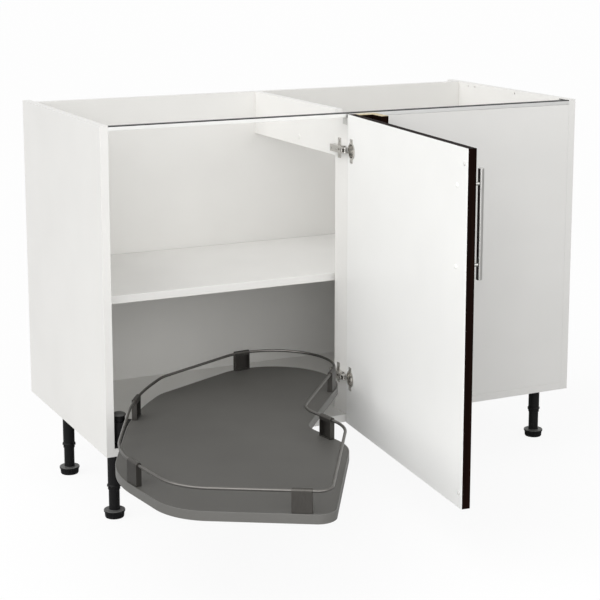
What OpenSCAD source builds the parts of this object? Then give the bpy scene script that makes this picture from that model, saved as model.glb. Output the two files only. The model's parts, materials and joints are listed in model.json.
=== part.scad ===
// Corner base cabinet: blind-corner carcass, one hinged door, a kidney tray that swings out
// Millimetres. X right, Y back, Z up. The origin is the centre of the front left foot on the floor.

/* [Carcass] */
// Outside width of the carcass
carcass_w = 1200; // [1000:10:1400]
// Outside depth of the carcass
carcass_d = 560; // [540:5:640]
// Height of the carcass without its legs
carcass_h = 720; // [640:10:900]
// Thickness of the carcass boards
board_t = 18; // [15:0.5:19]
// Service void behind the back panel
back_void = 42; // [20:1:60]
// Depth of the post that carries the door
post_d = 60; // [50:1:90]
// Height of the rail from the post to the back panel
cross_rail_h = 105; // [60:1:140]
// Height of the shelf's top above the carcass bottom edge
shelf_rise = 337; // [300:1:420]
// Gap between the carcass front and the shelf front
shelf_setback = 75; // [66:1:150]

/* [Steel front rail] */
// Sheet thickness of the front rail and its bracket
rail_t = 1.5; // [1:0.1:2]
// Height of the front rail's lip
rail_lip_h = 10; // [6:0.5:16]
// Depth of the front rail's top flange
rail_flange_d = 16; // [10:1:30]

/* [Corner post] */
// Thickness of the two corner post boards
corner_t = 18; // [15:0.5:19]
// Length of the board that lies on the blank panel
corner_leg_a = 51; // [45:1:70]
// How far the other board stands out in front of the carcass
corner_leg_b = 58; // [45:1:80]

/* [Door] */
// Thickness of the door board
door_t = 17.5; // [15:0.5:22]
// Thickness of the door's white inner face
liner_t = 1.5; // [1:0.1:2]
// Gap between the door and the carcass front
door_gap = 3; // [2.6:0.1:4]
// Gap at each side edge of the door
door_reveal = 2; // [1.5:0.1:3]
// Gap between the door top and the carcass top
door_top_gap = 5; // [3:0.5:8]
// Angle at which the door stands open
door_open = 84.5; // [0:0.5:104]

/* [Hinges] */
// Diameter of the hinge cup
cup_dia = 35; // [30:1:36]
// Depth of the hinge cup
cup_depth = 11.5; // [10:0.5:12]
// Distance from the door edge to the cup's centre
cup_inset = 22.5; // [21:0.5:24]
// Height of the lower hinge above the door's bottom edge
hinge_low = 110; // [80:1:160]
// Distance from the door's top edge to the upper hinge
hinge_high = 80; // [60:1:160]

/* [Handle] */
// Diameter of the handle bar
bar_dia = 12; // [10:0.5:14]
// Length of the handle bar
bar_len = 221; // [180:1:320]
// Distance between the handle's fixing screws
bar_centres = 160; // [96:32:160]
// Clear finger space between the door and the bar
bar_space = 26; // [24:1:40]
// Distance from the door's free edge to the bar
bar_inset = 43; // [30:1:70]
// Distance from the door's top to the bar's top end
bar_drop = 45; // [30:1:120]

/* [Legs] */
// Height of the legs
leg_h = 150; // [120:1:180]
// Diameter of the leg's screw foot
screw_dia = 24; // [18:0.5:26]
// Wall of the leg's sleeve
sleeve_wall = 1.5; // [1.2:0.1:4]
// Diameter of the foot disc
foot_dia = 47; // [40:1:60]
// Height of the foot disc
foot_h = 18; // [12:1:22]

/* [Tray] */
// Thickness of the tray board
tray_t = 18; // [16:0.5:22]
// Height of the tray's underside above the bottom panel
tray_rise = 88; // [86:1:140]
// Diameter of the tray's rail wire
wire_dia = 6; // [5:0.5:8]
// Height of the rail wire's centre above the tray board
rail_rise = 40; // [30:1:60]
// Distance from the tray's edge to the rail wire
rail_inset = 8; // [8:0.5:12]

/* [Swing mechanism] */
// Diameter of the fixed column
column_dia = 26; // [22:0.5:30]
// Width of the swing arm
arm_w = 34; // [30:1:44]
// Thickness of the swing arm and the tray carrier
arm_t = 6; // [5:0.5:8]

/* [Hidden] */
$fn = 48;

wood_white = [0.91, 0.91, 0.90];
wood_dark = [0.20, 0.15, 0.12];
plastic_black = [0.07, 0.07, 0.07];
steel = [0.72, 0.72, 0.71];
nickel = [0.66, 0.66, 0.65];
tray_grey = [0.38, 0.37, 0.36];
edging_grey = [0.74, 0.73, 0.71];
clip_grey = [0.80, 0.80, 0.78];
bumper_clear = [0.85, 0.85, 0.83];

seat = 0.3;
half_w = carcass_w / 2;
inner_x = half_w - board_t;
top_z = leg_h + carcass_h;
floor_z = leg_h + board_t;
back_y = carcass_d - back_void - board_t;
front_z = top_z - rail_t - rail_lip_h - 1;
post_x = -board_t;
shelf_z = leg_h + shelf_rise;

// Shelf pegs stand the same distance from the shelf's front and back edges
peg_r = 2.5;
peg_len = 18;
peg_sink = 10;
peg_margin = 37;
PEG_Y = [shelf_setback + peg_margin, back_y - peg_margin];

// Holes for a worktop bracket, at these distances in front of the back panel
BRACKET_HOLES = [266, 79, 46];
bracket_hole_r = 2.5;
bracket_hole_deep = 11;
bracket_hole_down = 8;

// The cover cap hides the screw that holds the cross rail
cover_cap_r = 6;
cover_cap_t = 1.5;
cover_cap_y = 33;
cover_cap_z = 21;

// The front rail hangs just under the sides' top edges
rail_top = top_z - 2;
tab_h = 22;
tab_left_d = 16;
tab_right_d = 40;
bracket_y0 = 2;
bracket_y1 = 21;
bracket_h = 27;
bracket_x1 = -3;

// The corner post stands just right of the door's hinge edge
corner_x0 = 3;
corner_top = top_z - 6;

// Legs stand under the carcass: left pair, right pair, each with its own distances
leg_inset_left = 28;
leg_inset_right = 22;
leg_front_left = 38;
leg_back_left = 205;
leg_front_right = 108;
leg_back_right = 115;
LEGS = [[-half_w + leg_inset_left, leg_front_left], [-half_w + leg_inset_left, carcass_d - leg_back_left],
    [half_w - leg_inset_right, leg_front_right], [half_w - leg_inset_right, carcass_d - leg_back_right]];
plate_t = 3;
plate_r = 27;
collar_z = 74;
collar_grow = 4;
sleeve_bottom = 64;
screw_fit = 0.05;
sleeve_r = screw_dia / 2 + sleeve_wall;
screw_spare = 30;
screw_top = leg_h - screw_spare;
leg_screw_r = 2;
leg_screw_ring = 20;
plate_screw_head_t = 1.5;
rim_t = 4;
skirt_in = 1.5;
notch_n = 14;
notch_r = 2;
notch_z = 3;

// The door turns about an upright line inside its hinge edge
door_thick = door_t + liner_t;
pivot_x = -10;
pivot_y = -14;
door_x0 = -half_w + door_reveal;
door_x1 = -door_reveal;
door_z0 = leg_h;
door_z1 = top_z - door_top_gap;
door_in = -door_gap;
door_out = door_in - door_thick;
HINGE_Z = [door_z0 + hinge_low, door_z1 - hinge_high];
cup_x = door_x1 - cup_inset;
cup_wall = 2;
cup_flange_t = 1.4;
cup_flange_w = 14;
cup_flange_h = 54;
cup_screw_gap = 48;
mount_t = 4;
wing_t = 2;
mount_h = 46;
mount_w = 12;
mount_y = 37;
arm_body_h = 16;
arm_body_w = 11;
arm_back = 95;
arm_front = 6;
nose_x0 = -34;
nose_x1 = -22.2;
nose_tip = -12;
nose_h = 12;
nose_r = (nose_x1 - nose_x0) / 2;
ARM_SCREW_Y = [28, 52];
hinge_screw_r = 3.2;
hinge_head_t = 0.8;
wing_screw_z = 16;

bar_r = bar_dia / 2;
bar_x = door_x0 + bar_inset;
bar_y = door_out - bar_space - bar_r;
bar_z1 = door_z1 - bar_drop;
bar_mid = bar_z1 - bar_len / 2;
post_r = 4;
handle_screw_r = 2;
handle_head_r = 4.5;
handle_head_t = 2;
bumper_r = 4;
bumper_inset = 12;

// The fixed column stands in the opening's front left corner and carries two arms in a chain
tray_z = floor_z + tray_rise;
column_x = -inner_x + 20;
column_y = 25;
column_h = tray_rise - 14;
column_r = column_dia / 2;
cap_h = 7;
cap_r = column_r + 2.5;
cap_bulge = (cap_r * cap_r - cap_h * cap_h) / (2 * cap_h);
hub_wall = 4.5;
hub_h = 22;
// How far a bar's eye stands out past its side
eye_step = 1.5;
arm_drop = 40;
arm_z = tray_z - arm_drop;
link_z = arm_z + arm_t + 0.5;
carrier_z = tray_z - arm_t;
shoulder_top = arm_z - hub_h;
base_t = 4;
base_w = 50;
base_d = 46;
base_left = 19;
base_hole = 16;
pin_r = 6;
pin_fit = 0.06;
pin_head = 2.5;
elbow_x = -286;
elbow_y = -179;
swivel_x = -536;
swivel_y = -180;
carrier_r = 48;
carrier_len = 300;
carrier_back = 50;
carrier_w = 44;
carrier_turn = -52;
carrier_screw_r = 2;
carrier_screw_in = 12;
carrier_screw_side = 12;
carrier_screw_end = 14;

// Everything is drawn with the carcass centred on X, its front at Y 0 and the floor at Z 0
module from_origin() {
    translate([-LEGS[0][0], -LEGS[0][1], 0]) children();
}

// A box between two corners
module slab(low, high) {
    translate(low) cube(high - low);
}

// Everything on the door, turned open about its hinge line
module opened() {
    translate([pivot_x, pivot_y, 0]) rotate(door_open) translate([-pivot_x, -pivot_y, 0]) children();
}

// The tray's outline runs round these circles against the clock: [x, y, radius], inward bends negative
TRAY_CIRCLES = [[-220, -30, 146], [-340, -285, 322], [-480, -470, 250], [-590, -580, 127],
    [-473, -757, 35], [-380, -460, 112], [-222, -355, -60]];
tray_n = len(TRAY_CIRCLES);
arc_step = 7.5;
edging_t = 2;
clip_w = 37;
clip_t = 2.5;
rail_z = tray_z + tray_t + rail_rise;
wire_r = wire_dia / 2;
wire_sides = 12;
// Places of the rail clips: [which straight of the outline, share of its length]
CLIPS = [[0, 0.12], [1, 0.1], [2, 0.25], [3, 0.87], [5, 0.35], [6, 0.78]];

function wrap(a) = a - 360 * floor(a / 360);
function circle_at(i) = TRAY_CIRCLES[(i + tray_n) % tray_n];
function centre_at(i) = [circle_at(i).x, circle_at(i).y];
// Heading of the straight that leaves circle i for the next one
function heading(i) =
    let (step = centre_at(i + 1) - centre_at(i))
    atan2(step.y, step.x) + asin((circle_at(i).z - circle_at(i + 1).z) / norm(step));
function on_right(h) = [sin(h), -cos(h)];
function leave_point(i, inset) = centre_at(i) + (circle_at(i).z - inset) * on_right(heading(i));
function meet_point(i, inset) = centre_at(i + 1) + (circle_at(i + 1).z - inset) * on_right(heading(i));
function bend(i) = circle_at(i).z > 0 ? wrap(heading(i) - heading(i - 1)) : -wrap(heading(i - 1) - heading(i));
function arc_points(i, inset) =
    let (steps = max(2, ceil(abs(bend(i)) / arc_step)))
    [for (k = [0 : steps]) centre_at(i) + (circle_at(i).z - inset) * on_right(heading(i - 1) + bend(i) * k / steps)];
function outline(inset) = [for (i = [0 : tray_n - 1]) each arc_points(i, inset)];

// Carcass

module side_panel_left() {
    color(wood_white) difference() {
        slab([-half_w, 0, leg_h], [-inner_x, carcass_d, top_z]);
        shelf_peg_holes();
    }
}

module side_panel_right() {
    color(wood_white) difference() {
        slab([inner_x, 0, leg_h], [half_w, carcass_d, top_z]);
        shelf_peg_holes();
        for (ahead = BRACKET_HOLES) translate([inner_x - 1, back_y - ahead, top_z - bracket_hole_down])
            rotate([0, 90, 0]) cylinder(r = bracket_hole_r, h = bracket_hole_deep + 1);
    }
}

module peg_row(grow) {
    for (side = [-1, 1], y = PEG_Y)
        translate([side * (inner_x + peg_sink), y, shelf_z - board_t - peg_r])
            rotate([0, -90 * side, 0]) cylinder(r = peg_r + grow, h = peg_len);
}

module shelf_peg_holes() {
    peg_row(screw_fit);
}

module shelf_pegs() {
    color(nickel) peg_row(0);
}

module bottom_panel() {
    color(wood_white) slab([-inner_x, 0, leg_h], [inner_x, back_y, floor_z]);
}

module back_panel() {
    color(wood_white) slab([-inner_x, back_y, leg_h], [inner_x, back_y + board_t, top_z]);
}

module blank_panel() {
    color(wood_white) slab([0, 0, floor_z], [inner_x, board_t, front_z]);
}

module mid_post() {
    color(wood_white) slab([post_x, 0, floor_z], [0, post_d, front_z]);
}

module cross_rail() {
    color(wood_white) slab([post_x, post_d, top_z - cross_rail_h], [0, back_y, top_z]);
}

module rail_screw_cap() {
    color(wood_white) translate([post_x, (post_d + back_y) / 2 - cover_cap_y, top_z - cross_rail_h + cover_cap_z])
        rotate([0, -90, 0]) cylinder(r = cover_cap_r, h = cover_cap_t);
}

module shelf() {
    color(wood_white) slab([-inner_x + 1, shelf_setback, shelf_z - board_t], [inner_x - 1, back_y - 1, shelf_z]);
}

// Sheet steel rail that ties the tops of the sides, open below, with a tab at each end
module front_rail() {
    color(steel) {
        slab([-inner_x, 0, rail_top - rail_lip_h], [inner_x, rail_t, rail_top]);
        slab([-inner_x, 0, rail_top - rail_t], [inner_x, rail_flange_d, rail_top]);
        slab([-inner_x, rail_t, rail_top - tab_h], [-inner_x + rail_t, tab_left_d, rail_top]);
        slab([inner_x - rail_t, board_t, rail_top - tab_h], [inner_x, tab_right_d, rail_top]);
        slab([inner_x - rail_t, rail_t, rail_top - rail_lip_h], [inner_x, board_t, rail_top]);
    }
}

module rail_bracket() {
    color(steel) {
        slab([post_x - rail_t, bracket_y0, rail_top - bracket_h], [post_x, bracket_y1, rail_top - rail_t]);
        slab([post_x - rail_t, bracket_y0, rail_top - 2 * rail_t], [bracket_x1, bracket_y1, rail_top - rail_t]);
    }
}

// Two boards in an L in front of the blank panel, where the next cabinet meets this one
module corner_post_face() {
    color(wood_dark) slab([corner_x0, -corner_t, leg_h], [corner_x0 + corner_leg_a, 0, corner_top]);
}

module corner_post_return() {
    color(wood_dark)
        slab([corner_x0 + corner_leg_a - corner_t, -corner_leg_b, leg_h],
            [corner_x0 + corner_leg_a, -corner_t, corner_top]);
}

// Legs

module at_legs() {
    for (leg = LEGS) translate([leg.x, leg.y, 0]) children();
}

module leg_screw_spots() {
    for (a = [45 : 90 : 315]) rotate(a) translate([leg_screw_ring, 0, 0]) children();
}

module leg_sleeves() {
    color(plastic_black) at_legs() difference() {
        union() {
            translate([0, 0, sleeve_bottom]) cylinder(r = sleeve_r, h = leg_h - sleeve_bottom);
            translate([0, 0, leg_h - plate_t]) cylinder(r = plate_r, h = plate_t);
            rotate_extrude() translate([sleeve_r, collar_z]) circle(r = collar_grow / 2, $fn = 16);
        }
        translate([0, 0, sleeve_bottom - 1]) cylinder(r = screw_dia / 2 + screw_fit, h = screw_top - sleeve_bottom + 3);
        leg_screw_spots() translate([0, 0, leg_h - plate_t - 1]) cylinder(r = leg_screw_r + screw_fit, h = plate_t + 2);
    }
}

module leg_plate_screws() {
    color(steel) at_legs() leg_screw_spots() {
        translate([0, 0, leg_h - plate_t]) cylinder(r = leg_screw_r, h = plate_t);
        translate([0, 0, leg_h - plate_t - plate_screw_head_t])
            cylinder(r = leg_screw_r + 1.5, h = plate_screw_head_t);
    }
}

module foot(leg) {
    color(plastic_black) translate([leg.x, leg.y, 0]) {
        difference() {
            cylinder(r = foot_dia / 2 - skirt_in, h = foot_h - rim_t);
            for (k = [0 : notch_n - 1]) rotate(360 * k / notch_n)
                translate([foot_dia / 2 - skirt_in, 0, notch_z]) cylinder(r = notch_r, h = foot_h, $fn = 16);
        }
        translate([0, 0, foot_h - rim_t]) cylinder(r = foot_dia / 2, h = rim_t);
        cylinder(r = screw_dia / 2, h = screw_top);
    }
}

module foot_front_left() { foot(LEGS[0]); }
module foot_back_left() { foot(LEGS[1]); }
module foot_front_right() { foot(LEGS[2]); }
module foot_back_right() { foot(LEGS[3]); }

// Door, drawn shut and then turned open

module at_cups() {
    for (z = HINGE_Z) translate([cup_x, door_in, z]) rotate([90, 0, 0]) children();
}

module cup_screw_spots() {
    for (s = [-1, 1]) translate([0, s * cup_screw_gap / 2, 0]) children();
}

module door_holes() {
    at_cups() {
        translate([0, 0, -1]) cylinder(r = cup_dia / 2 + screw_fit, h = cup_depth + 1 + screw_fit);
        cup_screw_spots() translate([0, 0, -1]) cylinder(r = 1.5 + screw_fit, h = 11);
    }
    at_handle_posts() translate([0, 0, -1]) cylinder(r = handle_screw_r + screw_fit, h = door_thick + 2);
}

module door_board() {
    color(wood_dark) opened() difference() {
        slab([door_x0, door_out, door_z0], [door_x1, door_in - liner_t, door_z1]);
        door_holes();
    }
}

module door_liner() {
    color(wood_white) opened() difference() {
        slab([door_x0, door_in - liner_t, door_z0], [door_x1, door_in, door_z1]);
        door_holes();
    }
}

module door_bumpers() {
    color(bumper_clear) opened()
        for (z = [door_z0 + 30, door_z1 - 30])
            translate([door_x0 + bumper_inset, door_in, z]) rotate([-90, 0, 0])
                cylinder(r = bumper_r, h = door_gap - seat);
}

module hinge_cups() {
    color(nickel) opened() at_cups() difference() {
        union() {
            cylinder(r = cup_dia / 2, h = cup_depth);
            translate([0, 0, -cup_flange_t]) linear_extrude(cup_flange_t) {
                circle(r = cup_dia / 2 + 1.5);
                square([cup_flange_w, cup_flange_h], center = true);
            }
        }
        translate([0, 0, -cup_flange_t - 1]) cylinder(r = cup_dia / 2 - cup_wall, h = cup_depth + cup_flange_t + 1 - 1.2);
        cup_screw_spots() translate([0, 0, -cup_flange_t - 1]) cylinder(r = 1.5 + screw_fit, h = cup_flange_t + 2);
    }
}

module cup_screws() {
    color(steel) opened() at_cups() cup_screw_spots() {
        translate([0, 0, -cup_flange_t - 0.8]) cylinder(r = 3.5, h = 0.8);
        translate([0, 0, -cup_flange_t]) cylinder(r = 1.5, h = cup_flange_t + 9);
    }
}

// Hinge parts that stay on the post
module at_hinges() {
    for (z = HINGE_Z) translate([post_x, 0, z]) children();
}

module hinge_plates() {
    color(nickel) at_hinges() {
        slab([-mount_t, 18, -arm_body_h / 2 + 1.8], [0, post_d - 1, arm_body_h / 2 - 1.8]);
        slab([-wing_t, mount_y - mount_w / 2, -mount_h / 2], [0, mount_y + mount_w / 2, mount_h / 2]);
    }
}

module hinge_arms() {
    color(nickel) at_hinges() difference() {
        translate([-arm_body_w - mount_t, arm_front, -arm_body_h / 2])
            cube([arm_body_w + mount_t - 2.3, arm_back - arm_front, arm_body_h]);
        translate([-arm_body_w - mount_t + 1.5, arm_front + 3, -arm_body_h / 2 + 1.5])
            cube([arm_body_w + mount_t, arm_back, arm_body_h - 3]);
    }
}

module hinge_noses() {
    color(nickel) for (z = HINGE_Z) translate([0, 0, z]) {
        for (s = [-1, 1]) translate([0, 0, s * (nose_h / 2 - 1) - 1]) linear_extrude(2) {
            translate([nose_x0, nose_tip + nose_r]) square([2 * nose_r, arm_front - nose_tip - nose_r]);
            translate([nose_x0 + nose_r, nose_tip + nose_r]) circle(r = nose_r);
        }
        translate([nose_x0 + nose_r, nose_tip + nose_r, -nose_h / 2]) cylinder(r = 1.8, h = nose_h);
    }
}

module hinge_screws() {
    color(steel) at_hinges() {
        for (y = ARM_SCREW_Y) translate([-arm_body_w - mount_t - hinge_head_t, y, 0])
            rotate([0, 90, 0]) cylinder(r = hinge_screw_r, h = hinge_head_t);
        for (s = [-1, 1]) translate([-wing_t - 1, mount_y, s * wing_screw_z])
            rotate([0, 90, 0]) cylinder(r = hinge_screw_r, h = 1);
    }
}

// Handle, on the door's outer face

module at_handle_posts() {
    for (s = [-1, 1]) translate([bar_x, door_in, bar_mid + s * bar_centres / 2]) rotate([90, 0, 0]) children();
}

module handle_bar() {
    color(steel) opened() translate([bar_x, bar_y, bar_mid - bar_len / 2]) cylinder(r = bar_r, h = bar_len);
}

module handle_posts() {
    color(steel) opened() difference() {
        at_handle_posts() difference() {
            translate([0, 0, door_thick]) cylinder(r = post_r, h = bar_space + bar_r);
            translate([0, 0, door_thick - 1]) cylinder(r = handle_screw_r + screw_fit, h = 12);
        }
        translate([bar_x, bar_y, bar_mid - bar_len]) cylinder(r = bar_r, h = 2 * bar_len);
    }
}

module handle_screws() {
    color(steel) opened() at_handle_posts() {
        translate([0, 0, -handle_head_t]) cylinder(r = handle_head_r, h = handle_head_t);
        cylinder(r = handle_screw_r, h = door_thick + 10);
    }
}

// Swing mechanism

module at_column() {
    translate([column_x, column_y, 0]) children();
}

module base_screw_spots() {
    for (side = [-1, 1]) translate([base_w - base_left - 7, side * base_hole, 0]) children();
}

module column_base() {
    color(plastic_black) at_column() difference() {
        translate([-base_left, -base_d / 2, floor_z]) cube([base_w, base_d, base_t]);
        base_screw_spots() translate([0, 0, floor_z - 1]) cylinder(r = 2 + screw_fit, h = base_t + 2);
    }
}

module base_screws() {
    color(steel) at_column() base_screw_spots() {
        translate([0, 0, floor_z]) cylinder(r = 2, h = base_t);
        translate([0, 0, floor_z + base_t]) cylinder(r = 3.5, h = 1.6);
    }
}

module pivot_column() {
    color(plastic_black) at_column() {
        translate([0, 0, floor_z + base_t]) cylinder(r = column_r + 3, h = shoulder_top - floor_z - base_t);
        translate([0, 0, shoulder_top]) cylinder(r = column_r, h = floor_z + column_h - cap_h - shoulder_top);
    }
}

module column_cap() {
    color(plastic_black) at_column() translate([0, 0, floor_z + column_h - cap_h])
        rotate_extrude($fn = 64) intersection() {
            translate([0, -cap_bulge]) circle(r = cap_h + cap_bulge, $fn = 96);
            square([cap_r, cap_h]);
        }
}

// A flat bar from one pivot to another, with an eye a little wider than the bar at each
module bar(from, to, low) {
    run = to - from;
    waist = arm_w - 2 * eye_step;
    translate([from.x, from.y, low]) rotate(atan2(run.y, run.x)) linear_extrude(arm_t) {
        circle(r = arm_w / 2);
        translate([0, -waist / 2]) square([norm(run), waist]);
        translate([norm(run), 0]) circle(r = arm_w / 2);
    }
}

module swing_arm() {
    color(plastic_black) difference() {
        union() {
            bar([column_x, column_y], [elbow_x, elbow_y], arm_z);
            at_column() translate([0, 0, shoulder_top + seat]) cylinder(r = column_r + hub_wall, h = hub_h - seat);
        }
        at_column() translate([0, 0, shoulder_top - 1]) cylinder(r = column_r + pin_fit, h = hub_h + arm_t + 2);
        translate([elbow_x, elbow_y, arm_z - 1]) cylinder(r = pin_r + pin_fit, h = arm_t + 2);
    }
}

// The pin is riveted in the swing arm and the second arm turns on it
module elbow_pin() {
    color(steel) translate([elbow_x, elbow_y, 0]) {
        translate([0, 0, arm_z]) cylinder(r = pin_r, h = link_z + arm_t + seat - arm_z);
        translate([0, 0, link_z + arm_t + seat]) cylinder(r = pin_r + 3, h = pin_head);
        translate([0, 0, arm_z - 1.5]) cylinder(r = pin_r + 3, h = 1.5);
    }
}

module link_arm() {
    color(plastic_black) difference() {
        bar([elbow_x, elbow_y], [swivel_x, swivel_y], link_z);
        for (spot = [[elbow_x, elbow_y], [swivel_x, swivel_y]])
            translate([spot.x, spot.y, link_z - 1]) cylinder(r = pin_r + pin_fit, h = arm_t + 2);
    }
}

module carrier_screw_spots() {
    translate([swivel_x, swivel_y, 0]) rotate(carrier_turn)
        for (along = [carrier_screw_end, carrier_len - carrier_screw_end], side = [-1, 1])
            translate([along - carrier_back, side * carrier_screw_side, 0]) children();
}

module tray_carrier() {
    color(plastic_black) difference() {
        translate([swivel_x, swivel_y, carrier_z]) {
            cylinder(r = carrier_r, h = arm_t);
            rotate(carrier_turn) translate([-carrier_back, -carrier_w / 2, 0]) cube([carrier_len, carrier_w, arm_t]);
        }
        carrier_screw_spots() translate([0, 0, carrier_z - 1])
            cylinder(r = carrier_screw_r + screw_fit, h = arm_t + 2);
    }
}

module carrier_pin() {
    color(steel) translate([swivel_x, swivel_y, 0]) {
        translate([0, 0, link_z + seat]) cylinder(r = pin_r, h = carrier_z - link_z - seat);
        translate([0, 0, link_z + arm_t + seat]) cylinder(r = pin_r + 5, h = carrier_z - link_z - arm_t - seat);
    }
}

module carrier_screws() {
    color(steel) carrier_screw_spots() {
        translate([0, 0, carrier_z]) cylinder(r = carrier_screw_r, h = arm_t + carrier_screw_in);
        translate([0, 0, carrier_z - 1.6]) cylinder(r = 3.5, h = 1.6);
    }
}

// Tray

module tray_board() {
    color(tray_grey) difference() {
        translate([0, 0, tray_z]) linear_extrude(tray_t) polygon(outline(edging_t));
        carrier_screw_spots() translate([0, 0, tray_z - 1])
            cylinder(r = carrier_screw_r + screw_fit, h = carrier_screw_in + 1);
    }
}

module tray_edging() {
    color(edging_grey) translate([0, 0, tray_z]) linear_extrude(tray_t) difference() {
        polygon(outline(0));
        polygon(outline(edging_t));
    }
}

// The wire's centre line is the outline drawn in by the rail's inset; each point carries one ring
module tray_rail() {
    path = outline(rail_inset);
    n = len(path);
    rings = [for (i = [0 : n - 1])
        let (along = path[(i + 1) % n] - path[(i + n - 1) % n], side = [along.y, -along.x] / norm(along))
        for (k = [0 : wire_sides - 1])
            let (a = 360 * k / wire_sides)
            [path[i].x + side.x * wire_r * cos(a), path[i].y + side.y * wire_r * cos(a), rail_z + wire_r * sin(a)]];
    skin = [for (i = [0 : n - 1], k = [0 : wire_sides - 1])
        let (here = i * wire_sides, next = ((i + 1) % n) * wire_sides, turn = (k + 1) % wire_sides)
        each [[here + k, here + turn, next + turn], [here + k, next + turn, next + k]]];
    color(steel) polyhedron(points = rings, faces = skin);
}

// A clip stands on the board and holds the wire: open channel inside, lip over the wire
module rail_clip() {
    clip_d = wire_dia + 2 * clip_t;
    difference() {
        translate([-clip_w / 2, -clip_d / 2, 0]) cube([clip_w, clip_d, rail_rise + wire_r + clip_t]);
        translate([-clip_w / 2 + clip_t, -clip_d / 2 + clip_t, clip_t])
            cube([clip_w - 2 * clip_t, clip_d, rail_rise - wire_r - 2 * clip_t]);
        translate([-clip_w / 2 - 1, 0, rail_rise]) rotate([0, 90, 0])
            cylinder(r = wire_r + screw_fit, h = clip_w + 2, $fn = 32);
    }
}

module rail_clips() {
    color(clip_grey) for (clip = CLIPS) {
        i = clip[0];
        spot = leave_point(i, rail_inset) * (1 - clip[1]) + meet_point(i, rail_inset) * clip[1];
        translate([spot.x, spot.y, tray_z + tray_t]) rotate(heading(i)) rail_clip();
    }
}

from_origin() side_panel_left();
from_origin() side_panel_right();
from_origin() bottom_panel();
from_origin() back_panel();
from_origin() blank_panel();
from_origin() mid_post();
from_origin() cross_rail();
from_origin() rail_screw_cap();
from_origin() front_rail();
from_origin() rail_bracket();
from_origin() shelf();
from_origin() shelf_pegs();
from_origin() corner_post_face();
from_origin() corner_post_return();
from_origin() leg_sleeves();
from_origin() leg_plate_screws();
from_origin() foot_front_left();
from_origin() foot_back_left();
from_origin() foot_front_right();
from_origin() foot_back_right();
from_origin() door_board();
from_origin() door_liner();
from_origin() door_bumpers();
from_origin() hinge_plates();
from_origin() hinge_arms();
from_origin() hinge_noses();
from_origin() hinge_screws();
from_origin() hinge_cups();
from_origin() cup_screws();
from_origin() handle_bar();
from_origin() handle_posts();
from_origin() handle_screws();
from_origin() column_base();
from_origin() base_screws();
from_origin() pivot_column();
from_origin() column_cap();
from_origin() swing_arm();
from_origin() elbow_pin();
from_origin() link_arm();
from_origin() tray_carrier();
from_origin() carrier_pin();
from_origin() carrier_screws();
from_origin() tray_board();
from_origin() tray_edging();
from_origin() tray_rail();
from_origin() rail_clips();
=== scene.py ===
"""Finishes the corner base cabinet: every board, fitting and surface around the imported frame.

Metres, in the frame's own axes: X along the front, Y towards the wall, Z up.
The front left foot stands on the origin.
"""

import json
import math

import bmesh
import bpy
from mathutils import Matrix, Vector


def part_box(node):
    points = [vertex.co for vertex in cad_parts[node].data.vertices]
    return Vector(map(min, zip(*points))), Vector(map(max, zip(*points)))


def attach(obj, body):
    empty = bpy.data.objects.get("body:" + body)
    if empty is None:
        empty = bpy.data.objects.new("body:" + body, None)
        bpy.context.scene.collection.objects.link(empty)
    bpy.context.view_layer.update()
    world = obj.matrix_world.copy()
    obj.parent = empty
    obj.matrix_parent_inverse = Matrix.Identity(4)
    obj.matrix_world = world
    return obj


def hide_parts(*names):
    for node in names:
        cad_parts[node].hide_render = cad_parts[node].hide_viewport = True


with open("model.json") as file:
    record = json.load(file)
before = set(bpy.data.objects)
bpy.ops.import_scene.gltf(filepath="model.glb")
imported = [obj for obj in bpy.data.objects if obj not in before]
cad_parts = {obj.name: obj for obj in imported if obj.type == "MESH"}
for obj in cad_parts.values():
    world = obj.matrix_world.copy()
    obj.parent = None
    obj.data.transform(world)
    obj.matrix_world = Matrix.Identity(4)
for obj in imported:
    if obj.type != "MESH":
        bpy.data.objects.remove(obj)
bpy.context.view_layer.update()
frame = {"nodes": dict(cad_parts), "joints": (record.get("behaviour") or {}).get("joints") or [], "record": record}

MM = 0.001

# Points nearer to each other than this are one point
WELD = 0.01 * MM

# Where the carcass front's middle stands in the frame, on the floor
CARCASS_MIDDLE = Vector((0.572, -0.038, 0))


def deselect():
    """Leaves nothing selected, so that an operator acts on the new piece alone."""
    bpy.ops.object.select_all(action="DESELECT")
    bpy.context.view_layer.objects.active = None


def take(piece):
    """Makes one piece the selected and active one."""
    deselect()
    piece.select_set(True)
    bpy.context.view_layer.objects.active = piece
    return piece


def settle(piece):
    """Puts the piece's place, turn and scale into its mesh."""
    take(piece)
    bpy.ops.object.transform_apply(location=True, rotation=True, scale=True)
    return piece


def apply_all(piece):
    """Applies every modifier in order."""
    take(piece)
    for modifier in list(piece.modifiers):
        bpy.ops.object.modifier_apply(modifier=modifier.name)
    return piece


def paint(piece, material):
    """Gives the whole piece one material."""
    piece.data.materials.clear()
    piece.data.materials.append(material)
    return piece


# Shader node groups


def new_group(name, inputs, outputs):
    """An empty node group with named sockets, and its input and output nodes."""
    group = bpy.data.node_groups.new(name, "ShaderNodeTree")
    for way, sockets in (("INPUT", inputs), ("OUTPUT", outputs)):
        for label, kind in sockets:
            group.interface.new_socket(label, in_out=way, socket_type=kind)
    return group, group.nodes.new("NodeGroupInput"), group.nodes.new("NodeGroupOutput")


def feed(tree, socket, value):
    """Gives a socket a plain value, or links another socket to it."""
    if isinstance(value, bpy.types.NodeSocket):
        tree.links.new(value, socket)
    else:
        socket.default_value = value


def noise(tree, vector, scale, detail=3.0, roughness=0.55):
    """A noise texture on the given vector."""
    node = tree.nodes.new("ShaderNodeTexNoise")
    settings = {"Vector": vector, "Scale": scale, "Detail": detail, "Roughness": roughness}
    for label, value in settings.items():
        feed(tree, node.inputs[label], value)
    return node.outputs["Fac"]


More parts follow.
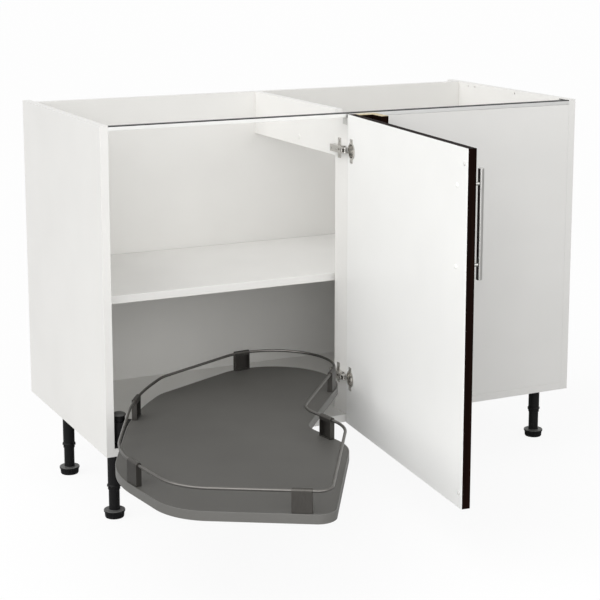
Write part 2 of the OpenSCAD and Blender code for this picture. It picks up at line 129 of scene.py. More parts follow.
def math_node(tree, operation, first, second):
    """One sum on two values or sockets."""
    node = tree.nodes.new("ShaderNodeMath")
    node.operation = operation
    feed(tree, node.inputs[0], first)
    feed(tree, node.inputs[1], second)
    return node.outputs[0]


def spread(tree, value, low, high, to_low=0.0, to_high=1.0):
    """Maps a stretch of values to another one."""
    node = tree.nodes.new("ShaderNodeMapRange")
    node.clamp = True
    settings = {"Value": value, "From Min": low, "From Max": high, "To Min": to_low, "To Max": to_high}
    for label, setting in settings.items():
        feed(tree, node.inputs[label], setting)
    return node.outputs["Result"]


def blend_colours(tree, factor, first, second):
    """A mix of two colours or colour sockets."""
    node = tree.nodes.new("ShaderNodeMix")
    node.data_type = "RGBA"
    feed(tree, node.inputs["Factor"], factor)
    colours = {socket.name: socket for socket in node.inputs if socket.type == "RGBA"}
    feed(tree, colours["A"], first)
    feed(tree, colours["B"], second)
    return next(socket for socket in node.outputs if socket.type == "RGBA")


def stretched(tree, vector, stretch):
    """The vector scaled along each axis by another vector."""
    node = tree.nodes.new("ShaderNodeVectorMath")
    node.operation = "MULTIPLY"
    tree.links.new(vector, node.inputs[0])
    tree.links.new(stretch, node.inputs[1])
    return node.outputs[0]


def two_tones(tree, inlet, mask):
    """The group's two colours mixed by a mask."""
    return blend_colours(tree, mask, inlet.outputs["Base"], inlet.outputs["Second"])


def put_out(tree, inlet, outlet, colour, uneven, share, height):
    """Puts out a colour, the roughness made uneven by a share of a value, and a height."""
    change = math_node(tree, "MULTIPLY", uneven, share)
    rough = math_node(tree, "ADD", inlet.outputs["Roughness"], change)
    for label, socket in (("Color", colour), ("Roughness", rough), ("Height", height)):
        tree.links.new(socket, outlet.inputs[label])
    return tree


def finish_group(name, grain_kind):
    """An empty group with what every finish takes in and puts out."""
    return new_group(
        name,
        (
            ("Vector", "NodeSocketVector"),
            ("Base", "NodeSocketColor"),
            ("Second", "NodeSocketColor"),
            ("Grain", grain_kind),
            ("Roughness", "NodeSocketFloat"),
        ),
        (("Color", "NodeSocketColor"), ("Roughness", "NodeSocketFloat"), ("Height", "NodeSocketFloat")),
    )


def make_laminate_group():
    """Pressed laminate: slow drift of tone, and a fine orange-peel skin."""
    tree, inlet, outlet = finish_group("pressed laminate", "NodeSocketFloat")
    drift = noise(tree, inlet.outputs["Vector"], 5.0, 2.0)
    skin = noise(tree, inlet.outputs["Vector"], inlet.outputs["Grain"], 2.0)
    broad = math_node(tree, "MULTIPLY", drift, 0.6)
    fine = math_node(tree, "MULTIPLY", skin, 0.4)
    mask = spread(tree, math_node(tree, "ADD", broad, fine), 0.35, 0.65)
    return put_out(tree, inlet, outlet, two_tones(tree, inlet, mask), drift, 0.08, skin)


def make_wood_group():
    """Straight dark wood grain: long streaks with fine open pores along them."""
    tree, inlet, outlet = finish_group("straight grain", "NodeSocketVector")
    along = stretched(tree, inlet.outputs["Vector"], inlet.outputs["Grain"])
    streaks = noise(tree, along, 0.35, 4.0, 0.6)
    pores = noise(tree, along, 3.2, 3.0, 0.7)
    pore = spread(tree, pores, 0.56, 0.66)
    grain = two_tones(tree, inlet, spread(tree, streaks, 0.33, 0.67))
    depth = math_node(tree, "MULTIPLY", pore, 0.55)
    colour = blend_colours(tree, depth, grain, inlet.outputs["Base"])
    height = math_node(tree, "SUBTRACT", streaks, math_node(tree, "MULTIPLY", pore, 0.5))
    return put_out(tree, inlet, outlet, colour, pore, 0.18, height)


def make_brushed_group():
    """Brushed metal: fine parallel scratches that change the gloss."""
    tree, inlet, outlet = finish_group("brushed metal", "NodeSocketVector")
    along = stretched(tree, inlet.outputs["Vector"], inlet.outputs["Grain"])
    lines = noise(tree, along, 1.0, 3.0, 0.7)
    mask = spread(tree, lines, 0.35, 0.65)
    return put_out(tree, inlet, outlet, two_tones(tree, inlet, mask), lines, 0.14, lines)


def make_chip_group():
    """Raw particle board: pale chips of several tones."""
    tree, inlet, outlet = finish_group("particle board", "NodeSocketFloat")
    cells = tree.nodes.new("ShaderNodeTexVoronoi")
    feed(tree, cells.inputs["Vector"], inlet.outputs["Vector"])
    feed(tree, cells.inputs["Scale"], inlet.outputs["Grain"])
    split = tree.nodes.new("ShaderNodeSeparateColor")
    feed(tree, split.inputs[0], cells.outputs["Color"])
    shade, height = split.outputs[0], split.outputs[1]
    mask = spread(tree, shade, 0.1, 0.9)
    return put_out(tree, inlet, outlet, two_tones(tree, inlet, mask), shade, 0.1, height)


GROUPS = {
    "laminate": make_laminate_group(),
    "wood": make_wood_group(),
    "brushed": make_brushed_group(),
    "chip": make_chip_group(),
}


def tone(red, green, blue):
    """A colour given as sRGB parts of 255, as the shader's linear value."""
    def linear(part):
        share = part / 255
        return share / 12.92 if share <= 0.04045 else ((share + 0.055) / 1.055) ** 2.4
    return (linear(red), linear(green), linear(blue), 1.0)


def group_node(tree, family, **values):
    """One of the groups in a material, on the piece's own coordinates."""
    coordinates = tree.nodes.new("ShaderNodeTexCoord")
    node = tree.nodes.new("ShaderNodeGroup")
    node.node_tree = GROUPS[family]
    tree.links.new(coordinates.outputs["Object"], node.inputs["Vector"])
    for label, value in values.items():
        node.inputs[label].default_value = value
    return node


def finish_material(name, family, base, second, rough, grain, bump=0.0, depth=0.1 * MM, **shader):
    """A material from one group: its tones, its bump and the shader's own plain settings."""
    material = bpy.data.materials.new(name)
    material.use_nodes = True
    tree = material.node_tree
    surface = tree.nodes["Principled BSDF"]
    finish = group_node(tree, family, Base=tone(*base), Second=tone(*second), Roughness=rough, Grain=grain)
    tree.links.new(finish.outputs["Color"], surface.inputs["Base Color"])
    tree.links.new(finish.outputs["Roughness"], surface.inputs["Roughness"])
    if bump:
        relief = tree.nodes.new("ShaderNodeBump")
        relief.inputs["Strength"].default_value = bump
        relief.inputs["Distance"].default_value = depth
        tree.links.new(finish.outputs["Height"], relief.inputs["Height"])
        tree.links.new(relief.outputs["Normal"], surface.inputs["Normal"])
    for label, value in shader.items():
        surface.inputs[label.replace("_", " ")].default_value = value
    return material


# Over this height a layer fades in and out, and this far above a piece's top nothing reaches
FADE = 0.2 * MM
CLEAR_ABOVE = 10 * MM


def add_layer(material, family, low, high, base, second, grain):
    """Between two heights the piece shows another colour, used both for raw board and for painted light."""
    tree = material.node_tree
    surface = tree.nodes["Principled BSDF"]
    covered = surface.inputs["Base Color"].links[0].from_socket
    layer = group_node(tree, family, Base=tone(*base), Second=tone(*second), Grain=grain)
    split = tree.nodes.new("ShaderNodeSeparateXYZ")
    tree.links.new(layer.inputs["Vector"].links[0].from_socket, split.inputs[0])
    above = spread(tree, split.outputs["Z"], low - FADE, low)
    under = spread(tree, split.outputs["Z"], high, high + FADE, 1.0, 0.0)
    within = math_node(tree, "MULTIPLY", above, under)
    seen = blend_colours(tree, within, covered, layer.outputs["Color"])
    tree.links.new(seen, surface.inputs["Base Color"])
    return material


def top_of(node):
    """The height of a node's top."""
    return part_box(node)[1].z


# What several finishes share
MELAMINE = {"family": "laminate", "rough": 0.38, "grain": 900.0, "bump": 0.08}
FOIL = {
    "family": "wood", "rough": 0.6, "grain": (260.0, 260.0, 5.0), "bump": 0.25, "depth": 0.2 * MM,
    "Specular_IOR_Level": 0.02,
}
PLASTIC = {
    "family": "laminate", "base": (20, 20, 21), "second": (14, 14, 15), "rough": 0.38, "grain": 1500.0,
    "bump": 0.2, "Specular_IOR_Level": 0.2,
}
EVEN_SCRATCHES = (300.0, 300.0, 300.0)
LAYER_GRAIN = 700.0
CHIP_GRAIN = 420.0

WHITE = finish_material("white melamine", base=(236, 235, 232), second=(231, 230, 227), **MELAMINE)
WHITE_LINER = finish_material("white door liner", base=(243, 243, 241), second=(239, 239, 237), **MELAMINE)
WENGE = finish_material("wenge foil", base=(11, 5, 4), second=(26, 13, 9), **FOIL)
WENGE_POST = add_layer(
    finish_material("wenge foil on the corner post", base=(14, 6, 4), second=(30, 15, 10), **FOIL),
    "chip", top_of("corner_post_face") - 0.4 * MM, top_of("corner_post_face") + CLEAR_ABOVE,
    (220, 208, 180), (200, 184, 150), CHIP_GRAIN,
)
STEEL = finish_material(
    "brushed steel", "brushed", (198, 197, 194), (176, 175, 172), 0.26, (1400.0, 1400.0, 16.0),
    bump=0.06, Metallic=1.0,
)
# The rail's top, from 1.6 mm under it upward, is painted near-black: a painted dark reflection on otherwise pale
# steel.
RAIL_STEEL_WITH_PAINTED_DARK_TOP = add_layer(
    finish_material(
        "bright steel with a painted dark reflection on top", "brushed", (238, 238, 236), (228, 228, 226), 0.34,
        (16.0, 1400.0, 1400.0), bump=0.06, Metallic=0.9,
    ),
    "laminate", top_of("front_rail") - 1.6 * MM, top_of("front_rail") + CLEAR_ABOVE,
    (26, 26, 26), (20, 20, 20), LAYER_GRAIN,
)
ZINC = finish_material(
    "pale zinc", "brushed", (214, 214, 211), (202, 202, 199), 0.4, EVEN_SCRATCHES, Metallic=0.6,
)
NICKEL = finish_material(
    "nickel plate", "brushed", (205, 203, 199), (192, 190, 186), 0.18, EVEN_SCRATCHES, Metallic=1.0,
)
BLACK = finish_material("black plastic", **PLASTIC)
# From 17.1 to 18.2 mm up, the rim's chamfer and upward face are painted pale grey: a painted highlight on the
# faces that look up.
BLACK_FOOT_WITH_PAINTED_HIGHLIGHT = add_layer(
    finish_material("black plastic with a painted highlight on the rim top", **PLASTIC),
    "laminate", 17.1 * MM, 18.2 * MM, (104, 104, 103), (88, 88, 87), LAYER_GRAIN,
)
CAP_GREY = finish_material("dark grey cap", "laminate", (78, 78, 77), (66, 66, 65), 0.34, 900.0)
TRAY_GREY = finish_material(
    "grey tray laminate", "laminate", (81, 80, 77), (75, 74, 71), 0.5, 1100.0,
    bump=0.2, Specular_IOR_Level=0.3,
)
EDGING = finish_material("light tray edging", "laminate", (98, 97, 94), (92, 91, 88), 0.3, 900.0)
CLIP = finish_material(
    "clip metal", "brushed", (80, 78, 75), (75, 73, 70), 0.3, (300.0, 300.0, 60.0), Metallic=0.9,
)
WIRE = finish_material(
    "grey steel wire", "brushed", (112, 110, 107), (98, 96, 93), 0.28, (500.0, 500.0, 500.0),
    Metallic=1.0,
)
BUMPER = finish_material(
    "clear bumper", "laminate", (234, 234, 231), (229, 229, 226), 0.3, 500.0, Alpha=0.6,
)

FEET = ("foot_front_left", "foot_back_left", "foot_front_right", "foot_back_right")
SLOT_FINISH = {
    "white_melamine": WHITE, "wenge": WENGE, "brushed_steel": STEEL, "nickel": NICKEL,
    "black_plastic": BLACK, "grey_laminate": TRAY_GREY, "light_edging": EDGING, "clear_bumper": BUMPER,
}
# Nodes that look unlike the rest of their slot
NODE_FINISH = {
    "corner_post_face": WENGE_POST, "corner_post_return": WENGE_POST, "front_rail": RAIL_STEEL_WITH_PAINTED_DARK_TOP,
    "rail_bracket": ZINC, "handle_screws": WHITE_LINER, "door_liner": WHITE_LINER,
    "column_cap": CAP_GREY, "rail_clips": CLIP, "tray_rail": WIRE,
    **{foot: BLACK_FOOT_WITH_PAINTED_HIGHLIGHT for foot in FEET},
}


# Places and turns

UP = Vector((0, 0, 1))
DOWN = Vector((0, 0, -1))
LEFT = Vector((-1, 0, 0))
RIGHT = Vector((1, 0, 0))
FRONT = Vector((0, -1, 0))
BACK = Vector((0, 1, 0))

BODY_OF = {
    node: body
    for body, nodes in frame["record"]["behaviour"]["bodies"].items()
    for node in nodes
}
SLOT_OF = {row["node"]: row["material_slot"] for row in frame["record"]["subparts"]}

# How far the door stands open at rest, and the line that it turns about
DOOR_OPEN = math.radians(84.5)
DOOR_PIVOT = Vector(next(joint["pos_m"] for joint in frame["joints"] if joint["name"] == "door_swing"))
DOOR_TURN = (
    Matrix.Translation(DOOR_PIVOT)
    @ Matrix.Rotation(DOOR_OPEN, 4, "Z")
    @ Matrix.Translation(-DOOR_PIVOT)
)
SHUT = DOOR_TURN.inverted()


def solid_boxes(node, seen_by=None):
    """The lowest and highest corners of each separate solid of a node, seen through a matrix."""
    mesh = bmesh.new()
    mesh.from_mesh(frame["nodes"][node].data)
    bmesh.ops.remove_doubles(mesh, verts=mesh.verts, dist=WELD)
    if seen_by is not None:
        mesh.transform(seen_by)
    left = set(mesh.verts)
    boxes = []
    while left:
        reached = [left.pop()]
        for vertex in reached:
            for edge in vertex.link_edges:
                other = edge.other_vert(vertex)
                if other in left:
                    left.remove(other)
                    reached.append(other)
        low = Vector(min(vertex.co[axis] for vertex in reached) for axis in range(3))
        high = Vector(max(vertex.co[axis] for vertex in reached) for axis in range(3))
        boxes.append((low, high))
    mesh.free()
    return sorted(boxes, key=lambda box: tuple(round(value, 4) for value in box[0]))


def middle(box):
    """The middle of a box."""
    return (box[0] + box[1]) / 2


def finish_of(node):
    """The material that a node's surface takes."""
    return NODE_FINISH.get(node, SLOT_FINISH[SLOT_OF[node]])


def dress(piece, name, body, finish):
    """Names a piece, gives it its finish and fixes it to a body."""
    piece.name = name
    piece.data.name = name
    paint(piece, finish)
    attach(piece, body)
    return piece


def stands_for(piece, node):
    """Dresses a piece as a node, and hides the node."""
    dress(piece, node + "_finished", BODY_OF[node], finish_of(node))
    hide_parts(node)
    return piece


# Modelling steps

# No two edges or faces of a round piece are equally far from here
ODD_SPOT = Vector((0.31, 0.17, -0.23))


def smooth(piece, degrees=32):
    """Smooth shading up to a crease angle, with broad faces kept flat."""
    take(piece)
    bpy.ops.object.shade_smooth_by_angle(angle=math.radians(degrees))
    flat = piece.modifiers.new("flat faces", "WEIGHTED_NORMAL")
    flat.keep_sharp = True
    return apply_all(piece)


def ease_edges(piece, width, segments=2, degrees=38):
    """Rounds the sharp edges of a piece."""
    bevel = piece.modifiers.new("eased edges", "BEVEL")
    bevel.width = width
    bevel.segments = segments
    bevel.limit_method = "ANGLE"
    bevel.angle_limit = math.radians(degrees)
    return smooth(apply_all(piece))


def block(low, high):
    """A plain block between two corners, to be shaped further."""
    deselect()
    bpy.ops.mesh.primitive_cube_add(size=1, location=(low + high) / 2)
    piece = bpy.context.object
    piece.scale = high - low
    return settle(piece)


def rod(centre, radius, length, axis=UP, sides=32):
    """A plain rod about a middle point, to be shaped further."""
    deselect()
    bpy.ops.mesh.primitive_cylinder_add(vertices=sides, radius=radius, depth=length, location=(0, 0, 0))
    piece = bpy.context.object
    piece.matrix_world = Matrix.Translation(centre) @ lying_along(axis)
    return settle(piece)


def lying_along(axis):
    """The turn that lays what stands upright along an axis."""
    return UP.rotation_difference(axis).to_matrix().to_4x4()


def close_skin():
    """Turns every face outward, and leaves edit mode.

    Extruding leaves edges and faces in a chance order. They are sorted by how far they are from
    the cursor, so that each run gives the same mesh.
    """
    bpy.ops.mesh.select_all(action="SELECT")
    bpy.ops.mesh.normals_make_consistent(inside=False)
    bpy.context.scene.cursor.location = ODD_SPOT
    bpy.ops.mesh.sort_elements(type="CURSOR_DISTANCE", elements={"EDGE", "FACE"})
    bpy.ops.object.mode_set(mode="OBJECT")


def turned(foot, rings, axis=UP, sides=48):
    """A piece turned on a lathe: rings of (distance along the axis, radius) from its foot."""
    deselect()
    along, radius = rings[0]
    bpy.ops.mesh.primitive_circle_add(
        vertices=sides, radius=radius, location=(0, 0, along), fill_type="NGON",
    )
    piece = bpy.context.object
    bpy.ops.object.mode_set(mode="EDIT")
    bpy.ops.mesh.select_all(action="SELECT")
    for next_along, next_radius in rings[1:]:
        bpy.ops.mesh.extrude_region_move(TRANSFORM_OT_translate={"value": (0, 0, next_along - along)})
        if next_radius != radius:
            share = next_radius / radius
            bpy.ops.transform.resize(value=(share, share, 1), center_override=(0, 0, next_along))
        along, radius = next_along, next_radius
    close_skin()
    piece.matrix_world = Matrix.Translation(foot) @ lying_along(axis) @ piece.matrix_world
    return smooth(settle(piece))


def cut(piece, *tools):
    """Cuts tools out of a piece and clears them away."""
    for tool in tools:
        boolean = piece.modifiers.new("cut", "BOOLEAN")
        boolean.operation = "DIFFERENCE"
        boolean.solver = "EXACT"
        boolean.object = tool
    apply_all(piece)
    for tool in tools:
        bpy.data.objects.remove(tool)
    return piece


def copy_of(piece, matrix):
    """A copy with its own mesh, put in place by a matrix."""
    twin = bpy.data.objects.new(piece.name, piece.data.copy())
    bpy.context.scene.collection.objects.link(twin)
    twin.matrix_world = matrix
    return settle(twin)


def drop(piece):
    """Clears away a pattern that only served for its copies."""
    bpy.data.objects.remove(piece)


def joined(pieces):
    """Several pieces as one."""
    deselect()
    for piece in pieces:
        piece.select_set(True)
    bpy.context.view_layer.objects.active = pieces[0]
    bpy.ops.object.join()
    return pieces[0]


def swung_open(piece):
    """Turns a piece that was made on the shut door to where the door stands."""
    piece.matrix_world = DOOR_TURN @ piece.matrix_world
    return settle(piece)


def eased_copy(node, width, segments=2):
    """A copy of a node's solids with its sharp edges rounded."""
    piece = bpy.data.objects.new(node, frame["nodes"][node].data.copy())
    bpy.context.scene.collection.objects.link(piece)
    take(piece)
    bpy.ops.object.mode_set(mode="EDIT")
    bpy.ops.mesh.select_all(action="SELECT")
    bpy.ops.mesh.remove_doubles(threshold=WELD)
    bpy.ops.mesh.dissolve_limited(angle_limit=math.radians(0.5))
    bpy.ops.object.mode_set(mode="OBJECT")
    return ease_edges(piece, width, segments)


# Boards

# How far each board's edges are eased, in mm
BOARD_EASE = {
    "side_panel_left": 0.6, "side_panel_right": 0.6, "bottom_panel": 0.5, "back_panel": 0.4,
    "blank_panel": 0.6, "mid_post": 0.7, "cross_rail": 0.6, "shelf": 1.0,
    "corner_post_face": 0.5, "corner_post_return": 0.5, "door_board": 0.8, "door_liner": 0.2,
}


def make_boards():
    """Every board of the carcass, the corner post and the door."""
    for node, ease in BOARD_EASE.items():
        stands_for(eased_copy(node, ease * MM), node)


# Carcass fittings


def make_shelf_pegs():
    """Pegs with eased ends, full where they sit in the panel and slimmer under the shelf."""
    tip = 10 * MM
    ease = 1 * MM
    shelf_middle = middle(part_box("shelf")).x
    pegs = []
    for low, high in solid_boxes("shelf_pegs"):
        radius = (high.z - low.z) / 2
        slim = radius * 0.96
        length = high.x - low.x
        rings = [
            (0, radius * 0.8), (ease, slim), (tip, slim), (tip, radius),
            (length - ease, radius), (length, radius * 0.8),
        ]
        foot = middle((low, high))
        on_left = foot.x < shelf_middle
        foot.x = high.x if on_left else low.x
        pegs.append(turned(foot, rings, LEFT if on_left else RIGHT, 24))
    stands_for(joined(pegs), "shelf_pegs")


def make_rail_screw_cap():
    """A thin domed cover cap."""
    low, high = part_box("rail_screw_cap")
    radius = (high.z - low.z) / 2
    depth = high.x - low.x
    rings = [(0, radius), (depth * 0.4, radius), (depth * 0.8, radius * 0.86), (depth, radius * 0.5)]
    foot = middle((low, high))
    foot.x = high.x
    stands_for(turned(foot, rings, LEFT, 32), "rail_screw_cap")


def make_front_rail():
    """The folded steel rail and the small bracket that ties it to the post."""
    stands_for(eased_copy("front_rail", 0.35 * MM), "front_rail")
    stands_for(eased_copy("rail_bracket", 0.35 * MM), "rail_bracket")


# Screws


def screw_head(radius, height):
    """A domed head with a cross recess, standing on the floor plane at the origin."""
    rings = [
        (0, radius), (height * 0.45, radius), (height * 0.85, radius * 0.84), (height, radius * 0.55),
    ]
    head = turned(Vector((0, 0, 0)), rings, UP, 28)
    arm = radius * 0.62
    thin = radius * 0.17
    deep = height * 0.45
    over = height + 1 * MM
    cross = [
        block(Vector((-arm, -thin, deep)), Vector((arm, thin, over))),
        block(Vector((-thin, -arm, deep)), Vector((thin, arm, over))),
    ]
    return smooth(cut(head, *cross), 25)


def make_screws(node, outward, radius, height, on_door=False):
    """Gives each solid of a screw node a recessed head facing outward, and its shank."""
    pattern = screw_head(radius, height)
    screws = []
    for low, high in solid_boxes(node, SHUT if on_door else None):
        half = (high - low) / 2
        reach = abs(half.dot(outward))
        top = middle((low, high)) + outward * reach
        place = Matrix.Translation(top - outward * height)
        screws.append(copy_of(pattern, place @ lying_along(outward)))
        shank = 2 * reach - height
        if shank > 0.5 * MM:
            centre = top - outward * (height + shank / 2)
            screws.append(rod(centre, radius * 0.5, shank, outward, 16))
    drop(pattern)
    piece = joined(screws)
    if on_door:
        swung_open(piece)
    stands_for(smooth(piece), node)


def make_all_screws():
    """Every screw of the cabinet."""
    make_screws("leg_plate_screws", DOWN, 3.5 * MM, 1.5 * MM)
    make_screws("hinge_screws", LEFT, 3.2 * MM, 0.8 * MM)
    make_screws("base_screws", UP, 3.5 * MM, 1.6 * MM)
    make_screws("carrier_screws", DOWN, 3.5 * MM, 1.6 * MM)
    make_screws("cup_screws", BACK, 3.5 * MM, 0.8 * MM, on_door=True)
    make_screws("handle_screws", BACK, 4.5 * MM, 2.0 * MM, on_door=True)


# Legs

SLEEVE_RADIUS = 13.5 * MM
SLEEVE_RIBS = 8
SCREW_RADIUS = 12 * MM
LEG_SIDES = 64
FOOT_SIDES = 84
NOTCHES = 14


def at_each_foot(pattern):
    """A copy of a pattern over each foot, by the foot's name."""
    copies = {}
    for foot in FEET:
        spot = middle(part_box(foot))
        copies[foot] = copy_of(pattern, Matrix.Translation((spot.x, spot.y, 0)))
    drop(pattern)
    return copies


def make_sleeves():
    """Leg sleeves: a thin plate, a plain tube and a ribbed collar where the foot screws in."""
    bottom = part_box("leg_sleeves")[0].z
    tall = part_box("bottom_panel")[0].z - bottom
    low, high = solid_boxes("leg_sleeves")[0]
    plate = (high.x - low.x) / 2 - 2 * MM
    wall = SLEEVE_RADIUS
    rings = [
        (0, wall - 0.5 * MM), (0.5 * MM, wall), (7.2 * MM, wall), (7.8 * MM, wall + 1.2 * MM),
        (9 * MM, wall + 1.8 * MM), (10.4 * MM, wall + 1.8 * MM), (11.6 * MM, wall + 1.1 * MM),
        (12.2 * MM, wall), (tall - 9 * MM, wall), (tall - 8.7 * MM, wall - 0.4 * MM),
        (tall - 8 * MM, wall - 0.4 * MM), (tall - 7.7 * MM, wall), (tall - 3 * MM, wall),
        (tall - 3 * MM, plate - 0.6 * MM), (tall - 2.4 * MM, plate), (tall - 0.1 * MM, plate),
    ]
    pieces = [turned(Vector((0, 0, bottom)), rings, UP, LEG_SIDES)]
    for step in range(SLEEVE_RIBS):
        rib = block(
            Vector((wall - 1 * MM, -1 * MM, bottom + 5.6 * MM)),
            Vector((wall + 1.9 * MM, 1 * MM, bottom + 10 * MM)),
        )
        rib.matrix_world = Matrix.Rotation(2 * math.pi * (step + 0.5) / SLEEVE_RIBS, 4, "Z")
        pieces.append(ease_edges(settle(rib), 0.4 * MM))
    sleeves = at_each_foot(joined(pieces))
    stands_for(joined(list(sleeves.values())), "leg_sleeves")


def make_feet():
    """Screw feet: a flat rim, a notched skirt under it and the plain screw above."""
    low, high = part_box(FEET[0])
    rim = (high.x - low.x) / 2
    screw = SCREW_RADIUS
    rings = [
        (0, rim - 5.5 * MM), (0.6 * MM, rim - 3.6 * MM), (2.4 * MM, rim - 2.6 * MM),
        (12.6 * MM, rim - 1.6 * MM), (13.4 * MM, rim - 0.9 * MM), (14 * MM, rim - 0.1 * MM),
        (14.6 * MM, rim), (17.2 * MM, rim), (17.9 * MM, rim - 0.6 * MM), (17.9 * MM, screw + 1 * MM),
        (18.6 * MM, screw + 0.3 * MM), (19.6 * MM, screw), (high.z - 1 * MM, screw),
        (high.z, screw - 1 * MM),
    ]
    pattern = turned(Vector((0, 0, 0)), rings, UP, FOOT_SIDES)
    notches = []
    for step in range(NOTCHES):
        angle = 2 * math.pi * step / NOTCHES
        spot = Vector((math.cos(angle), math.sin(angle), 0)) * (rim - 1.2 * MM)
        notches.append(rod(spot + UP * 7.6 * MM, 1.9 * MM, 12 * MM, UP, 16))
    cut(pattern, joined(notches))
    for foot, piece in at_each_foot(smooth(pattern, 28)).items():
        stands_for(piece, foot)


# Door fittings


def make_bumpers():
    """Soft domed pads on the door's inner face."""
    pads = []
    for low, high in solid_boxes("door_bumpers", SHUT):
        radius = (high.z - low.z) / 2
        depth = high.y - low.y
        foot = middle((low, high))
        foot.y = low.y
        rings = [
            (0, radius), (depth * 0.35, radius), (depth * 0.65, radius * 0.9),
            (depth * 0.9, radius * 0.62), (depth, radius * 0.2),
        ]
        pads.append(turned(foot, rings, BACK, 28))
    stands_for(swung_open(joined(pads)), "door_bumpers")


def make_handle():
    """The bar with rounded ends, and its two necked posts."""
    low, high = solid_boxes("handle_bar", SHUT)[0]
    radius = (high.x - low.x) / 2
    length = high.z - low.z
    # How much slimmer the bar is at each distance from its ends
    rounding = [(0, 1.4 * MM), (0.35 * MM, 0.7 * MM), (0.9 * MM, 0.2 * MM), (1.6 * MM, 0)]
    rings = [(along, radius - less) for along, less in rounding]
    rings += [(length - along, radius - less) for along, less in reversed(rounding)]
    foot = middle((low, high))
    bar_y = foot.y
    foot.z = low.z
    stands_for(swung_open(turned(foot, rings, UP, 48)), "handle_bar")
    posts = []
    for low, high in solid_boxes("handle_posts", SHUT):
        post = (high.x - low.x) / 2
        neck = post - 0.4 * MM
        reach = high.y - bar_y
        foot = middle((low, high))
        foot.y = high.y
        rings = [
            (0, post + 0.3 * MM), (1.6 * MM, post + 0.3 * MM), (2.2 * MM, neck),
            (reach - radius - 1.4 * MM, neck), (reach - radius - 0.6 * MM, post), (reach, post),
        ]
        posts.append(turned(foot, rings, FRONT, 32))
    stands_for(swung_open(joined(posts)), "handle_posts")


# How far back from the carcass front the hinge arms and their plates reach
ARM_LENGTH = 58 * MM
PLATE_LENGTH = 62 * MM
# The two holes that make the arm's slot: their places behind its front end, and radius
SLOT_HOLES = (7 * MM, 11 * MM)
SLOT_RADIUS = 2.4 * MM
LINK_PIN_RADIUS = 1.6 * MM


def shortened(node, length):
    """A copy of a node's solids that ends at a distance behind the carcass front."""
    margin = 10 * MM
    end = CARCASS_MIDDLE.y + length
    low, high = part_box(node)
    rest = block(
        Vector((low.x - margin, end, low.z - margin)),
        Vector((high.x + margin, high.y + margin, high.z + margin)),
    )
    return cut(eased_copy(node, 0.3 * MM, 1), rest)


def make_hinges():
    """Concealed hinges: cup with its flange, stamped arm, links on their pins and winged plate."""
    stands_for(eased_copy("hinge_cups", 0.35 * MM, 3), "hinge_cups")
    arms = shortened("hinge_arms", ARM_LENGTH)
    for low, high in solid_boxes("hinge_arms"):
        level = (low.z + high.z) / 2
        for behind in SLOT_HOLES:
            hole = rod(Vector((low.x, low.y + behind, level)), SLOT_RADIUS, 6 * MM, RIGHT, 24)
            arms = cut(arms, hole)
    stands_for(ease_edges(arms, 0.5 * MM, 2, 50), "hinge_arms")
    plates = shortened("hinge_plates", PLATE_LENGTH)
    stands_for(ease_edges(plates, 0.4 * MM, 2, 50), "hinge_plates")
    stands_for(eased_copy("hinge_noses", 0.4 * MM, 2), "hinge_noses")
    pins = []
    for low, high in solid_boxes("hinge_noses"):
        tall = high.z - low.z
        end = LINK_PIN_RADIUS - 0.3 * MM
        rings = [
            (0, end), (0.3 * MM, LINK_PIN_RADIUS), (tall + 0.5 * MM, LINK_PIN_RADIUS),
            (tall + 0.8 * MM, end),
        ]
        for x, y in ((low.x + 2.4 * MM, high.y - 3.2 * MM), (high.x - 2.4 * MM, high.y - 5.2 * MM)):
            pins.append(turned(Vector((x, y, low.z - 0.4 * MM)), rings, UP, 20))
    dress(joined(pins), "hinge_link_pins", "cabinet", NICKEL)


# Swing mechanism

COLUMN_NECK = 13 * MM
# The cap's upright edge, and how far round its dome each ring lies, in radians
CAP_EDGE = 0.7 * MM
CAP_BENDS = (0.3, 0.6, 0.9, 1.2, 1.45)
# How far the arms, the carrier and their pins are eased, in mm
ARM_EASE = {"swing_arm": 1.2, "link_arm": 1.2, "tray_carrier": 1.2, "elbow_pin": 0.5, "carrier_pin": 0.5}


def make_column():
    """The fixed column with its foot plate and domed cap."""
    stands_for(eased_copy("column_base", 1.4 * MM, 3), "column_base")
    low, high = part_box("pivot_column")
    wide = (high.x - low.x) / 2
    body = wide - 0.5 * MM
    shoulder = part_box("swing_arm")[0].z - 0.3 * MM - low.z
    rings = [
        (0, wide), (1 * MM, wide), (3 * MM, body), (shoulder - 1 * MM, body),
        (shoulder, wide - 1.2 * MM), (shoulder, COLUMN_NECK), (high.z - low.z, COLUMN_NECK),
    ]
    foot = middle((low, high))
    foot.z = low.z
    stands_for(turned(foot, rings), "pivot_column")
    low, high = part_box("column_cap")
    wide = (high.x - low.x) / 2
    dome = high.z - low.z - CAP_EDGE
    rings = [(0, wide - 0.6 * MM), (CAP_EDGE, wide)]
    rings += [(CAP_EDGE + dome * math.sin(bend), wide * math.cos(bend)) for bend in CAP_BENDS]
    foot = middle((low, high))
    foot.z = low.z
    stands_for(turned(foot, rings), "column_cap")


def make_arms():
    """The two black arms, their pins and the carrier under the tray."""
    for node, ease in ARM_EASE.items():
        stands_for(eased_copy(node, ease * MM, 3), node)


# Tray

# Circles that the tray's outline runs round: x and y from the carcass's front middle, and radius, in mm
# The second and third cut the left back corner straighter than the solid, and stay inside it
TRAY_CIRCLES = (
    (-220, -30, 146), (-408, -82, 110), (6, -513, 707), (-480, -470, 250),
    (-590, -580, 127), (-473, -757, 35), (-380, -460, 112), (-222, -355, -60),
)
# Where the clips sit along the wire: x and y from the carcass's front middle, in mm
CLIP_SPOTS = ((-235, 121), (-571, -133), (-721, -502), (-508, -767), (-281, -417), (-122, -128))
OUTLINE_STEP = math.radians(2.5)
WIRE_INSET = 8 * MM
BAND_WIDTH = 1.9 * MM
BOARD_INSET = 2 * MM


